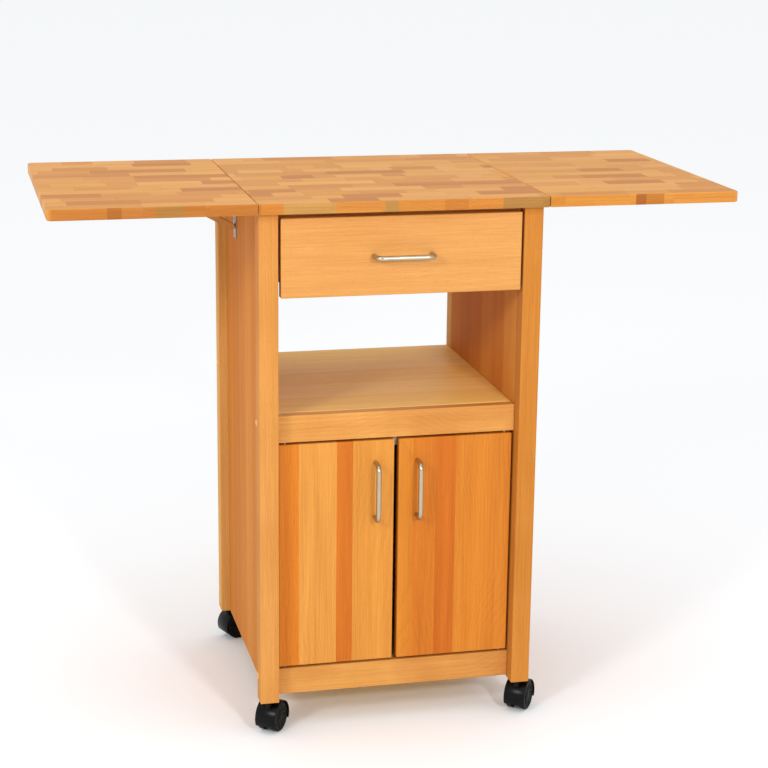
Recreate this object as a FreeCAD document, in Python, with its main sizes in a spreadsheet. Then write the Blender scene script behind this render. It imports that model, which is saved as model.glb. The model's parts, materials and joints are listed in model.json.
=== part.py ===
import FreeCAD, Part
import Sketcher
import os
import re

# A kitchen cart on casters: a butcher block top with two drop leaves, a drawer, an open shelf
# and a cupboard with two doors.  Millimetres, +X to the right, +Y to the back, +Z up.
# The origin is on the floor, in the middle of the whole cart with its leaves up.

doc = FreeCAD.newDocument("DropLeafCart")
sheet = doc.addObject("Spreadsheet::Sheet", "Sizes")

SIZES = {
    # The body: four square legs on casters.
    "table_height": 914, "body_width": 472, "body_depth": 468, "leg_size": 32,
    "edge_ease": 1.5,
    # The top and its two leaves.
    "top_thickness": 18, "side_overhang": 3, "front_overhang": 23, "back_overhang": 18,
    "leaf_width": 327, "leaf_gap": 1, "leaf_corner": 9, "top_ease": 2,
    # Side panels, rails, shelf, cupboard floor and back.
    "panel_thickness": 16, "panel_rise": 1, "rail_setback": 24, "rail_thickness": 18,
    "rail_height": 46, "shelf_height": 555, "shelf_thickness": 16, "shelf_gap": 3,
    "bottom_rail_rise": 5, "back_inset": 8, "back_thickness": 8, "cleat_size": 18,
    "upper_rail_height": 140, "stretcher_depth": 60, "stretcher_thickness": 18,
    # Drawer.
    "drawer_front_height": 129.5, "drawer_top_gap": 10, "reveal": 4, "front_thickness": 18,
    "box_side_gap": 13, "box_wall": 12, "box_top_gap": 8, "box_back_gap": 34, "box_rise": 12,
    "drawer_bottom_rise": 4, "drawer_bottom_thickness": 6,
    "slide_inset": 18, "slide_end_gap": 22, "slide_height": 36, "slide_rise": 20,
    "slide_wall": 2, "slide_depth": 6.5, "runner_height": 30, "slide_clearance": 0.5,
    # Doors and what they turn and close on.
    "door_thickness": 18, "door_meeting_gap": 8, "pivot_inset": 11, "pivot_radius": 3,
    "pivot_in_door": 10, "pivot_in_rail": 10, "pivot_end_gap": 2, "pivot_clearance": 0.05,
    "catch_width": 48, "catch_depth": 14, "catch_overlap": 16, "strike_thickness": 1,
    "strike_width": 15, "strike_height": 14, "catch_clearance": 0.3,
    # Pulls: bent rods.
    "pull_centres": 96, "pull_radius": 4.2, "pull_reach": 30, "pull_bend": 11,
    "pull_from_gap": 32, "door_pull_drop": 87,
    # Leaf hinges: two to a leaf.
    "hinge_length": 60, "hinge_inset": 90, "hinge_thickness": 2, "knuckle_radius": 3.5,
    "hinge_pin_radius": 1.6, "hinge_pin_clearance": 0.05, "hinge_leaf_width": 36,
    "hinge_seat_gap": 1.5, "knuckle_gap": 0.3, "knuckle_share": 20,
    # Leaf braces.
    "brace_from_front": 330, "brace_arm": 120, "brace_length": 150, "brace_thickness": 10,
    "brace_width": 16, "brace_drop": 7.5, "brace_pin_radius": 2.5, "brace_clearance": 0.3,
    "bracket_length": 34, "bracket_wall": 2, "wall_plate_height": 40, "wall_plate_thickness": 2,
    "wall_plate_margin": 4,
    # Wood plugs over the screws in the legs.
    "plug_radius": 6, "plug_height": 2.4, "plug_from_face": 23,
    # Casters.
    "wheel_radius": 25.5, "wheel_width": 10, "wheel_gap": 0.5, "wheel_ease": 3, "trail": 14,
    "web_thickness": 14, "hood_clearance": 1.2, "hood_wall": 2, "hood_lip": 1.5,
    "hood_bottom": 14, "axle_radius": 4, "axle_clearance": 0.1, "boss_radius": 7,
    "boss_rise": 2.8, "boss_depth": 12, "boss_gap": 0.5,
    "stem_radius": 4, "stem_bottom": 30, "stem_clearance": 0.05, "stem_end_gap": 1,
    "socket_wall": 2.5, "socket_length": 38, "socket_flange": 1.5, "flange_radius": 9,
}

for row, (alias, value) in enumerate(SIZES.items(), start=1):
    sheet.set(f"A{row}", alias)
    sheet.set(f"B{row}", str(value))
    sheet.setAlias(f"B{row}", alias)
doc.recompute()

# Places worked out from the sizes.
FRONT = "((pull_reach - body_depth - back_overhang) / 2)"
BACK = f"({FRONT} + body_depth)"
HOOD_RADIUS = "(wheel_radius + hood_clearance + hood_wall)"
HOOD_WIDTH = "(web_thickness + 2 * wheel_gap + 2 * wheel_width + 2 * hood_lip)"
BOSS_TOP = f"(wheel_radius + {HOOD_RADIUS} + boss_rise)"
LEG_BOTTOM = f"({BOSS_TOP} + boss_gap + socket_flange)"
BOTTOM_RAIL_BOTTOM = f"({LEG_BOTTOM} + bottom_rail_rise)"
BOTTOM_RAIL_TOP = f"({BOTTOM_RAIL_BOTTOM} + rail_height)"
OUTER = "(body_width / 2)"
INNER = "(body_width / 2 - leg_size)"
UNDERSIDE = "(table_height - top_thickness)"
RAIL_FRONT = f"({FRONT} + rail_setback)"
RAIL_BACK = f"({RAIL_FRONT} + rail_thickness)"
SHELF_BOTTOM = "(shelf_height - shelf_thickness)"
SHELF_RAIL_BOTTOM = "(shelf_height - rail_height)"
PANEL_BACK = f"({BACK} - back_inset - back_thickness)"
BOX_OUTER = f"({INNER} - box_side_gap)"
DRAWER_TOP = f"({UNDERSIDE} - drawer_top_gap)"
DRAWER_BOTTOM = f"({DRAWER_TOP} - drawer_front_height)"
BOX_BOTTOM = f"({DRAWER_BOTTOM} + box_rise)"
BOX_FRONT = f"({FRONT} + front_thickness)"
UPPER_RAIL_FRONT = f"({BACK} - back_inset - rail_thickness)"
BOX_BACK = f"({UPPER_RAIL_FRONT} - box_back_gap)"
BOX_DEPTH = f"({BOX_BACK} - {BOX_FRONT})"
BOX_HEIGHT = f"({UNDERSIDE} - stretcher_thickness - box_top_gap - {BOX_BOTTOM})"
SLIDE_LENGTH = f"({BOX_DEPTH} - slide_inset - slide_end_gap)"
DOOR_BOTTOM = f"({BOTTOM_RAIL_TOP} + reveal)"
DOOR_TOP = f"({SHELF_RAIL_BOTTOM} - reveal)"
DOOR_BACK = f"({RAIL_FRONT} + door_thickness)"
DOOR_EDGE = f"({INNER} - reveal)"
PIVOT_X = f"({DOOR_EDGE} - pivot_inset)"
PIVOT_Y = f"({RAIL_FRONT} + door_thickness / 2)"
HINGE_X = "(body_width / 2 + side_overhang + leaf_gap / 2)"
HINGE_Z = f"({UNDERSIDE} - knuckle_radius)"
LEAF_INNER = "(body_width / 2 + side_overhang + leaf_gap)"
BRACE_X = f"({HINGE_X} + brace_arm)"
BRACE_Y = f"({FRONT} + brace_from_front)"
BRACE_Z = f"({UNDERSIDE} - brace_drop)"
PANEL_FACE = f"({INNER} + panel_thickness)"
FOOT_X = f"({PANEL_FACE} + wall_plate_thickness + brace_thickness / 2 + brace_clearance)"
BRACE_ANGLE = f"asin(({BRACE_X} - {FOOT_X}) / brace_length)"
BRACE_FOOT_Z = f"({BRACE_Z} - brace_length * cos({BRACE_ANGLE}))"
LEG_CENTRE_X = "(body_width / 2 - leg_size / 2)"

SIDES = {"left": -1, "right": 1}
CASTERS = {
    "front_left": (-1, "front", 54),
    "front_right": (1, "front", 53),
    "back_left": (-1, "back", 20),
    "back_right": (1, "back", -35),
}

parts = []


def reading_sheet(text):
    """The same expression, in which each word that names a size reads the sheet."""
    return re.sub(r"[a-z_]{3,}", lambda m: "Sizes." + m[0] if m[0] in SIZES else m[0], text)


def bind(thing, target, text):
    """Bind a property to an expression of the sheet's sizes."""
    thing.setExpression(target, reading_sheet(text))


def place(thing, corner):
    """Bind the three coordinates of a placement, keeping its rotation."""
    for axis, text in zip("xyz", corner):
        bind(thing, f"Placement.Base.{axis}", text)


def turn(thing, axis, angle):
    thing.Placement = FreeCAD.Placement(FreeCAD.Vector(), FreeCAD.Rotation(axis, angle))


def keep(thing, label):
    """Mark a finished object as a sub-part that is written under its label."""
    thing.Label = label
    parts.append(thing)
    return thing


def flipped(side, near, far):
    """The lower x of a piece that spans near to far on the right, or its mirror on the left."""
    return near if side > 0 else f"-{far}"


def sketch_in(body, name, role="XY_Plane"):
    sketch = body.newObject("Sketcher::SketchObject", name)
    plane = next(item for item in body.Origin.OriginFeatures if item.Role == role)
    sketch.AttachmentSupport = (plane, [""])
    sketch.MapMode = "FlatFace"
    return sketch


def measure(sketch, constraint, name, text):
    """Add a size constraint to a sketch and bind it to the sheet."""
    index = sketch.addConstraint(constraint)
    sketch.renameConstraint(index, name)
    bind(sketch, f"Constraints.{name}", text)


def rectangle(sketch, wide, deep):
    """A rectangle with one corner on the sketch's origin."""
    corners = [FreeCAD.Vector(x, y) for x, y in ((0, 0), (60, 0), (60, 40), (0, 40))]
    for index in range(4):
        sketch.addGeometry(Part.LineSegment(corners[index], corners[(index + 1) % 4]))
    for index in range(4):
        sketch.addConstraint(Sketcher.Constraint("Coincident", index, 2, (index + 1) % 4, 1))
    for index, kind in enumerate(("Horizontal", "Vertical", "Horizontal", "Vertical")):
        sketch.addConstraint(Sketcher.Constraint(kind, index))
    sketch.addConstraint(Sketcher.Constraint("Coincident", 0, 1, -1, 1))
    measure(sketch, Sketcher.Constraint("DistanceX", 0, 1, 0, 2, 60), "wide", wide)
    measure(sketch, Sketcher.Constraint("DistanceY", 1, 1, 1, 2, 40), "deep", deep)


def circle(sketch, name, radius):
    index = sketch.addGeometry(Part.Circle(FreeCAD.Vector(), FreeCAD.Vector(0, 0, 1), 5))
    sketch.addConstraint(Sketcher.Constraint("Coincident", index, 3, -1, 1))
    measure(sketch, Sketcher.Constraint("Radius", index, 5), name, radius)


def pad(body, sketch, name, length):
    feature = body.newObject("PartDesign::Pad", name)
    feature.Profile = sketch
    bind(feature, "Length", length)
    doc.recompute()
    return feature


def rounded(body, feature, name, radius, chosen=lambda edge: True):
    """Round the chosen edges of a feature."""
    edges = [f"Edge{i}" for i, edge in enumerate(feature.Shape.Edges, start=1) if chosen(edge)]
    fillet = body.newObject("PartDesign::Fillet", name)
    fillet.Base = (feature, edges)
    bind(fillet, "Radius", radius)
    doc.recompute()
    return fillet


def board(name, size, corner, ease="edge_ease", outer_corners=0):
    """A board with eased edges; outer_corners rounds the upright edges at one end, -1 or 1."""
    body = doc.addObject("PartDesign::Body", name)
    sketch = sketch_in(body, f"{name}_outline")
    rectangle(sketch, size[0], size[1])
    block = pad(body, sketch, f"{name}_block", size[2])
    if outer_corners:
        middle = block.Shape.BoundBox.Center.x
        block = rounded(body, block, f"{name}_corners", "leaf_corner",
                        lambda edge: edge.BoundBox.XLength < 1e-6 and edge.BoundBox.YLength < 1e-6
                        and (edge.CenterOfMass.x - middle) * outer_corners > 0)
    rounded(body, block, f"{name}_eased", ease,
            lambda edge: not outer_corners or edge.BoundBox.ZLength < 1e-6)
    place(body, corner)
    return body


def box(name, size, corner):
    solid = doc.addObject("Part::Box", name)
    for target, text in zip(("Length", "Width", "Height"), size):
        bind(solid, target, text)
    place(solid, corner)
    return solid


def rod(name, radius, length, start, axis="z"):
    """A round rod that runs from its start towards +X, +Y or +Z."""
    solid = doc.addObject("Part::Cylinder", name)
    if axis == "x":
        turn(solid, FreeCAD.Vector(0, 1, 0), 90)
    if axis == "y":
        turn(solid, FreeCAD.Vector(1, 0, 0), -90)
    bind(solid, "Radius", radius)
    bind(solid, "Height", length)
    place(solid, start)
    return solid


def group(name, solids):
    """Several solids kept as one object, each still a solid of its own."""
    compound = doc.addObject("Part::Compound", name)
    compound.Links = solids
    return compound


def joined(name, solids):
    fuse = doc.addObject("Part::MultiFuse", name)
    fuse.Shapes = solids
    return fuse


def cut(name, base, tool):
    result = doc.addObject("Part::Cut", name)
    result.Base = base
    result.Tool = tool
    return result


def leg_y(end):
    return FRONT if end == "front" else f"({BACK} - leg_size)"


def leg_centre_y(end):
    return f"({leg_y(end)} + leg_size / 2)"


def build_legs():
    """Square legs, each with a blind hole in its foot for the caster's socket."""
    for name, (side, end, _) in CASTERS.items():
        blank = board(f"{name}_leg_blank", ("leg_size", "leg_size", f"{UNDERSIDE} - {LEG_BOTTOM}"),
                      (flipped(side, INNER, OUTER), leg_y(end), LEG_BOTTOM))
        hole = rod(f"{name}_leg_hole", "stem_radius + stem_clearance + socket_wall",
                   "socket_length", (f"{side} * {LEG_CENTRE_X}", leg_centre_y(end), LEG_BOTTOM))
        keep(cut(f"{name}_leg_drilled", blank, hole), f"{name}_leg")


def build_top_and_leaves():
    deep = "(front_overhang + body_depth + back_overhang)"
    start = f"({FRONT} - front_overhang)"
    wide = "(body_width + 2 * side_overhang)"
    keep(board("fixed_top_board", (wide, deep, "top_thickness"),
               (f"-{wide} / 2", start, UNDERSIDE), "top_ease"), "fixed_top")
    for name, side in SIDES.items():
        keep(board(f"{name}_leaf_board", ("leaf_width", deep, "top_thickness"),
                   (flipped(side, LEAF_INNER, f"({LEAF_INNER} + leaf_width)"), start, UNDERSIDE),
                   "top_ease", outer_corners=side), f"{name}_leaf")


def build_carcass():
    """Side panels, rails, shelf, cupboard floor and back between the legs."""
    between = f"(2 * {INNER})"
    for name, side in SIDES.items():
        keep(board(f"{name}_panel_board",
                   ("panel_thickness", "body_depth - 2 * leg_size",
                    f"{UNDERSIDE} - {LEG_BOTTOM} - panel_rise"),
                   (flipped(side, INNER, PANEL_FACE), f"{FRONT} + leg_size",
                    f"{LEG_BOTTOM} + panel_rise")), f"{name}_side_panel")
    rails = {"shelf_rail": SHELF_RAIL_BOTTOM, "bottom_rail": BOTTOM_RAIL_BOTTOM}
    for name, bottom in rails.items():
        blank = board(f"{name}_blank", (between, "rail_thickness", "rail_height"),
                      (f"-{INNER}", RAIL_FRONT, bottom))
        depth = "(pivot_in_rail + pivot_end_gap)"
        mouth = bottom if name == "shelf_rail" else f"({BOTTOM_RAIL_TOP} - {depth})"
        holes = [rod(f"{name}_hole_{end}", "pivot_radius + pivot_clearance", depth,
                     (f"{side} * {PIVOT_X}", PIVOT_Y, mouth)) for end, side in SIDES.items()]
        keep(cut(f"{name}_drilled", blank, group(f"{name}_holes", holes)), name)
    shelf_front = f"({RAIL_BACK} + shelf_gap)"
    keep(board("shelf_board", (between, f"{BACK} - back_inset - {shelf_front}", "shelf_thickness"),
               (f"-{INNER}", shelf_front, SHELF_BOTTOM)), "open_shelf")
    keep(board("floor_board", (between, f"{PANEL_BACK} - {RAIL_BACK}", "shelf_thickness"),
               (f"-{INNER}", RAIL_BACK, f"{BOTTOM_RAIL_TOP} - shelf_thickness")), "cupboard_floor")
    keep(board("back_board", (between, "back_thickness", f"{SHELF_BOTTOM} - {BOTTOM_RAIL_BOTTOM}"),
               (f"-{INNER}", PANEL_BACK, BOTTOM_RAIL_BOTTOM)), "cupboard_back")
    keep(board("upper_rail_board", (between, "rail_thickness", "upper_rail_height"),
               (f"-{INNER}", UPPER_RAIL_FRONT,
                f"{UNDERSIDE} - upper_rail_height")), "upper_back_rail")
    keep(board("stretcher_board", (between, "stretcher_depth", "stretcher_thickness"),
               (f"-{INNER}", f"{BOX_FRONT} + 2 * edge_ease",
                f"{UNDERSIDE} - stretcher_thickness")), "top_stretcher")
    cleats = []
    levels = {"shelf": SHELF_BOTTOM, "floor": f"({BOTTOM_RAIL_TOP} - shelf_thickness)"}
    for level, top in levels.items():
        for name, side in SIDES.items():
            cleats.append(box(f"{name}_{level}_cleat",
                              ("cleat_size", f"{PANEL_BACK} - {RAIL_BACK} - 2 * shelf_gap",
                               "cleat_size"),
                              (flipped(side, f"({INNER} - cleat_size)", INNER),
                               f"{RAIL_BACK} + shelf_gap", f"{top} - cleat_size")))
    keep(group("cleat_group", cleats), "shelf_cleats")


def build_plugs():
    """Domed wood plugs on the outer sides of the legs, level with the shelf and the floor."""
    plugs = []
    heights = (f"{SHELF_BOTTOM} + shelf_thickness / 2", f"{BOTTOM_RAIL_TOP} - shelf_thickness / 2")
    ends = {"front": f"{FRONT} + plug_from_face", "back": f"{BACK} - plug_from_face"}
    for side_name, side in SIDES.items():
        for end, y in ends.items():
            for level, z in enumerate(heights):
                name = f"{side_name}_{end}_plug_{level}"
                disc = rod(f"{name}_disc", "plug_radius", "plug_height",
                           (f"{OUTER}" if side > 0 else f"-{OUTER} - plug_height", y, z), "x")
                doc.recompute()
                rim = doc.addObject("Part::Chamfer", name)
                rim.Base = disc
                far = max if side > 0 else min
                edge = far(range(3), key=lambda i: disc.Shape.Edges[i].BoundBox.Center.x)
                size = SIZES["plug_height"] * 0.6
                rim.Edges = [(edge + 1, size, size)]
                plugs.append(rim)
    keep(group("plug_group", plugs), "wood_plugs")


def pull(name, label, place_at, upright):
    """A bent rod: two feet, two bends and a straight grip, its feet on y = 0."""
    body = doc.addObject("PartDesign::Body", name)
    path = sketch_in(body, f"{name}_path")
    half, reach, bend = 48, 26, 11
    points = [FreeCAD.Vector(x, y) for x, y in ((-half, 0), (-half, bend - reach),
              (bend - half, -reach), (half - bend, -reach), (half, bend - reach), (half, 0))]
    path.addGeometry(Part.LineSegment(points[0], points[1]))
    path.addGeometry(Part.Arc(points[1], points[1] + FreeCAD.Vector(3.2, -7.8), points[2]))
    path.addGeometry(Part.LineSegment(points[2], points[3]))
    path.addGeometry(Part.Arc(points[3], points[4] + FreeCAD.Vector(-3.2, -7.8), points[4]))
    path.addGeometry(Part.LineSegment(points[4], points[5]))
    path.addConstraint(Sketcher.Constraint("Vertical", 0))
    path.addConstraint(Sketcher.Constraint("Vertical", 4))
    path.addConstraint(Sketcher.Constraint("Horizontal", 2))
    path.addConstraint(Sketcher.Constraint("Tangent", 0, 2, 1, 1))
    path.addConstraint(Sketcher.Constraint("Tangent", 1, 2, 2, 1))
    path.addConstraint(Sketcher.Constraint("Tangent", 2, 2, 3, 1))
    path.addConstraint(Sketcher.Constraint("Tangent", 3, 2, 4, 1))
    path.addConstraint(Sketcher.Constraint("Equal", 1, 3))
    path.addConstraint(Sketcher.Constraint("PointOnObject", 0, 1, -1))
    path.addConstraint(Sketcher.Constraint("Symmetric", 0, 1, 4, 2, -1, 1))
    measure(path, Sketcher.Constraint("DistanceX", 0, 1, 4, 2, 96), "centres", "pull_centres")
    measure(path, Sketcher.Constraint("DistanceY", 2, 1, 0, 1, 26), "reach",
            "pull_reach - pull_radius")
    measure(path, Sketcher.Constraint("Radius", 1, 11), "bend", "pull_bend")
    section = sketch_in(body, f"{name}_section", "XZ_Plane")
    index = section.addGeometry(Part.Circle(FreeCAD.Vector(-half, 0), FreeCAD.Vector(0, 0, 1), 4))
    section.addConstraint(Sketcher.Constraint("PointOnObject", index, 3, -1))
    measure(section, Sketcher.Constraint("DistanceX", index, 3, -1, 1, 48), "offset",
            "pull_centres / 2")
    measure(section, Sketcher.Constraint("Radius", index, 4), "radius", "pull_radius")
    pipe = body.newObject("PartDesign::AdditivePipe", f"{name}_rod")
    pipe.Profile = section
    pipe.Spine = (path, [f"Edge{i}" for i in range(1, 6)])
    if upright:
        turn(body, FreeCAD.Vector(0, 1, 0), 90)
    place(body, place_at)
    keep(body, label)


def build_drawer():
    keep(board("drawer_front_board",
               (f"2 * {DOOR_EDGE}", "front_thickness", "drawer_front_height"),
               (f"-{DOOR_EDGE}", FRONT, DRAWER_BOTTOM)), "drawer_front")
    for name, side in SIDES.items():
        keep(board(f"drawer_{name}_board", ("box_wall", BOX_DEPTH, BOX_HEIGHT),
                   (flipped(side, f"({BOX_OUTER} - box_wall)", BOX_OUTER), BOX_FRONT,
                    BOX_BOTTOM)), f"drawer_{name}_side")
    inside = f"(2 * ({BOX_OUTER} - box_wall))"
    keep(board("drawer_back_board", (inside, "box_wall", BOX_HEIGHT),
               (f"-{inside} / 2", f"{BOX_BACK} - box_wall", BOX_BOTTOM)), "drawer_back")
    keep(box("drawer_bottom_board",
             (inside, f"{BOX_DEPTH} - box_wall", "drawer_bottom_thickness"),
             (f"-{inside} / 2", BOX_FRONT, f"{BOX_BOTTOM} + drawer_bottom_rise")),
         "drawer_bottom")
    pull("drawer_pull_rod", "drawer_pull",
         ("0 * body_width", FRONT, f"{DRAWER_BOTTOM} + drawer_front_height / 2"), upright=False)
    rails = []
    runners = []
    start = f"({BOX_FRONT} + slide_inset)"
    low = f"({BOX_BOTTOM} + slide_rise)"
    for name, side in SIDES.items():
        inner_face = f"({INNER} - slide_depth)"
        bar = box(f"{name}_rail_bar", ("slide_depth", SLIDE_LENGTH, "slide_height"),
                  (flipped(side, inner_face, INNER), start, low))
        trough = box(f"{name}_rail_trough",
                     ("slide_depth - slide_wall", SLIDE_LENGTH, "slide_height - 2 * slide_wall"),
                     (flipped(side, inner_face, f"({INNER} - slide_wall)"), start,
                      f"{low} + slide_wall"))
        rails.append(cut(f"{name}_rail", bar, trough))
        runner_outer = f"({INNER} - slide_wall - slide_clearance)"
        runners.append(box(f"{name}_runner",
                           (f"{runner_outer} - {BOX_OUTER}", SLIDE_LENGTH, "runner_height"),
                           (flipped(side, BOX_OUTER, runner_outer), start,
                            f"{low} + (slide_height - runner_height) / 2")))
    keep(group("slide_rail_group", rails), "drawer_slide_rails")
    keep(group("slide_runner_group", runners), "drawer_runners")


def build_doors():
    """Two inset doors on pivot pins, their pulls, strike plates and the catch they close on."""
    low_pin = f"({BOTTOM_RAIL_TOP} - pivot_in_rail)"
    length = "(pivot_in_rail + reveal + pivot_in_door)"
    high_pin = f"({SHELF_RAIL_BOTTOM} + pivot_in_rail - {length})"
    for name, side in SIDES.items():
        blank = board(f"{name}_door_blank",
                      (f"{DOOR_EDGE} - door_meeting_gap / 2", "door_thickness",
                       f"{DOOR_TOP} - {DOOR_BOTTOM}"),
                      (flipped(side, "(door_meeting_gap / 2)", DOOR_EDGE), RAIL_FRONT,
                       DOOR_BOTTOM))
        pin_place = [(f"{side} * {PIVOT_X}", PIVOT_Y, z) for z in (low_pin, high_pin)]
        holes = [rod(f"{name}_door_hole_{i}", "pivot_radius", length, spot)
                 for i, spot in enumerate(pin_place)]
        keep(cut(f"{name}_door_drilled", blank, group(f"{name}_door_holes", holes)),
             f"{name}_door")
        pins = [rod(f"{name}_door_pin_{i}", "pivot_radius", length, spot)
                for i, spot in enumerate(pin_place)]
        keep(group(f"{name}_door_pin_group", pins), f"{name}_door_pins")
        pull(f"{name}_door_pull_rod", f"{name}_door_pull",
             (f"{side} * (door_meeting_gap / 2 + pull_from_gap)", RAIL_FRONT,
              f"{DOOR_TOP} - door_pull_drop"),
             upright=True)
        keep(box(f"{name}_strike_plate",
                 ("strike_width", "strike_thickness", "strike_height"),
                 (flipped(side, "(door_meeting_gap / 2 + 2 * edge_ease)",
                          "(door_meeting_gap / 2 + 2 * edge_ease + strike_width)"),
                  DOOR_BACK, f"{DOOR_TOP} - strike_height - edge_ease")), f"{name}_door_strike")
    keep(box("catch_block",
             ("catch_width", "catch_depth", f"{SHELF_BOTTOM} - {DOOR_TOP} + catch_overlap"),
             ("-catch_width / 2", f"{DOOR_BACK} + strike_thickness + catch_clearance",
              f"{DOOR_TOP} - catch_overlap")), "door_catch")


def hinge_knuckle(name, side, middle, from_start, length):
    return rod(name, "knuckle_radius", length,
               (f"{side} * {HINGE_X}", f"{middle} - hinge_length / 2 + {from_start}", HINGE_Z), "y")


def build_hinges():
    """Each leaf turns on two hinges under the joint: a plate on the top, one on the leaf, a pin."""
    middles = {"front": f"({FRONT} + hinge_inset)", "back": f"({BACK} - hinge_inset)"}
    fixed = []
    pins = []
    for side_name, side in SIDES.items():
        moving = []
        for end, middle in middles.items():
            name = f"{side_name}_{end}_hinge"
            start = f"({middle} - hinge_length / 2)"
            plate_z = f"({UNDERSIDE} - hinge_thickness)"
            bore = "(hinge_pin_radius + hinge_pin_clearance)"
            pin_line = (f"{side} * {HINGE_X}", start, HINGE_Z)
            # The plate under the fixed top, with a knuckle at each end.
            seat_start = f"({PANEL_FACE} + hinge_seat_gap)"
            seat_width = f"({HINGE_X} - {seat_start})"
            plate = box(f"{name}_seat", (seat_width, "hinge_length", "hinge_thickness"),
                        (flipped(side, seat_start, HINGE_X), start, plate_z))
            ends = [hinge_knuckle(f"{name}_end_{i}", side, middle, offset,
                                  "knuckle_share - knuckle_gap")
                    for i, offset in enumerate(("0", "hinge_length - knuckle_share + knuckle_gap"))]
            solid = joined(f"{name}_fixed_solid", [plate] + ends)
            relief = box(f"{name}_fixed_relief",
                         ("2 * knuckle_radius + 2 * knuckle_gap",
                          "hinge_length - 2 * knuckle_share + 2 * knuckle_gap",
                          "2 * knuckle_radius + 2"),
                         (f"{side} * {HINGE_X} - knuckle_radius - knuckle_gap",
                          f"{start} + knuckle_share - knuckle_gap",
                          f"{HINGE_Z} - knuckle_radius - 1"))
            hole = rod(f"{name}_fixed_bore", bore, "hinge_length", pin_line, "y")
            fixed.append(cut(f"{name}_fixed", solid, group(f"{name}_fixed_cuts", [relief, hole])))
            # The plate under the leaf, with the knuckle in the middle.
            plate = box(f"{name}_wing", ("hinge_leaf_width", "hinge_length", "hinge_thickness"),
                        (flipped(side, HINGE_X, f"({HINGE_X} + hinge_leaf_width)"), start,
                         plate_z))
            centre = hinge_knuckle(f"{name}_centre", side, middle, "knuckle_share",
                                   "hinge_length - 2 * knuckle_share")
            solid = joined(f"{name}_moving_solid", [plate, centre])
            reliefs = [box(f"{name}_moving_relief_{i}",
                           ("2 * knuckle_radius + 2 * knuckle_gap", "knuckle_share",
                            "2 * knuckle_radius + 2"),
                           (f"{side} * {HINGE_X} - knuckle_radius - knuckle_gap",
                            f"{start} + {offset}", f"{HINGE_Z} - knuckle_radius - 1"))
                       for i, offset in enumerate(("0", "hinge_length - knuckle_share"))]
            hole = rod(f"{name}_moving_bore", bore, "hinge_length", pin_line, "y")
            moving.append(cut(f"{name}_moving", solid,
                              group(f"{name}_moving_cuts", reliefs + [hole])))
            pins.append(rod(f"{name}_pin", "hinge_pin_radius", "hinge_length", pin_line, "y"))
        keep(group(f"{side_name}_leaf_hinge_group", moving), f"{side_name}_leaf_hinge_plates")
    keep(group("top_hinge_group", fixed), "top_hinge_plates")
    keep(group("hinge_pin_group", pins), "hinge_pins")


def build_braces():
    """A strut under each leaf, from a bracket on the leaf to a plate on the side panel."""
    half = "(brace_width / 2 + brace_clearance)"
    plates = []
    for name, side in SIDES.items():
        x = f"{side} * {BRACE_X}"
        base_z = f"({UNDERSIDE} - bracket_wall)"
        base = box(f"{name}_bracket_base",
                   ("bracket_length", f"2 * {half} + 2 * bracket_wall", "bracket_wall"),
                   (f"{x} - bracket_length / 2", f"{BRACE_Y} - {half} - bracket_wall", base_z))
        ears = [box(f"{name}_bracket_ear_{i}",
                    ("brace_thickness", "bracket_wall", "brace_drop + brace_thickness / 2"),
                    (f"{x} - brace_thickness / 2", y, f"{BRACE_Z} - brace_thickness / 2"))
                for i, y in enumerate((f"{BRACE_Y} - {half} - bracket_wall", f"{BRACE_Y} + {half}"))]
        solid = joined(f"{name}_bracket_solid", [base] + ears)
        pin_start = (x, f"{BRACE_Y} - {half} - bracket_wall", BRACE_Z)
        pin_length = f"2 * {half} + 2 * bracket_wall"
        hole = rod(f"{name}_bracket_hole", "brace_pin_radius", pin_length, pin_start, "y")
        keep(cut(f"{name}_bracket_drilled", solid, hole), f"{name}_brace_bracket")
        keep(rod(f"{name}_brace_pin_rod", "brace_pin_radius", pin_length, pin_start, "y"),
             f"{name}_brace_pin")
        build_strut(name, side)
        plates.append(box(f"{name}_wall_plate",
                          ("wall_plate_thickness", "brace_width + 2 * wall_plate_margin",
                           "wall_plate_height"),
                          (flipped(side, PANEL_FACE, f"({PANEL_FACE} + wall_plate_thickness)"),
                           f"{BRACE_Y} - brace_width / 2 - wall_plate_margin",
                           f"{BRACE_FOOT_Z} - wall_plate_height / 2")))
    keep(group("wall_plate_group", plates), "brace_wall_plates")


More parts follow.
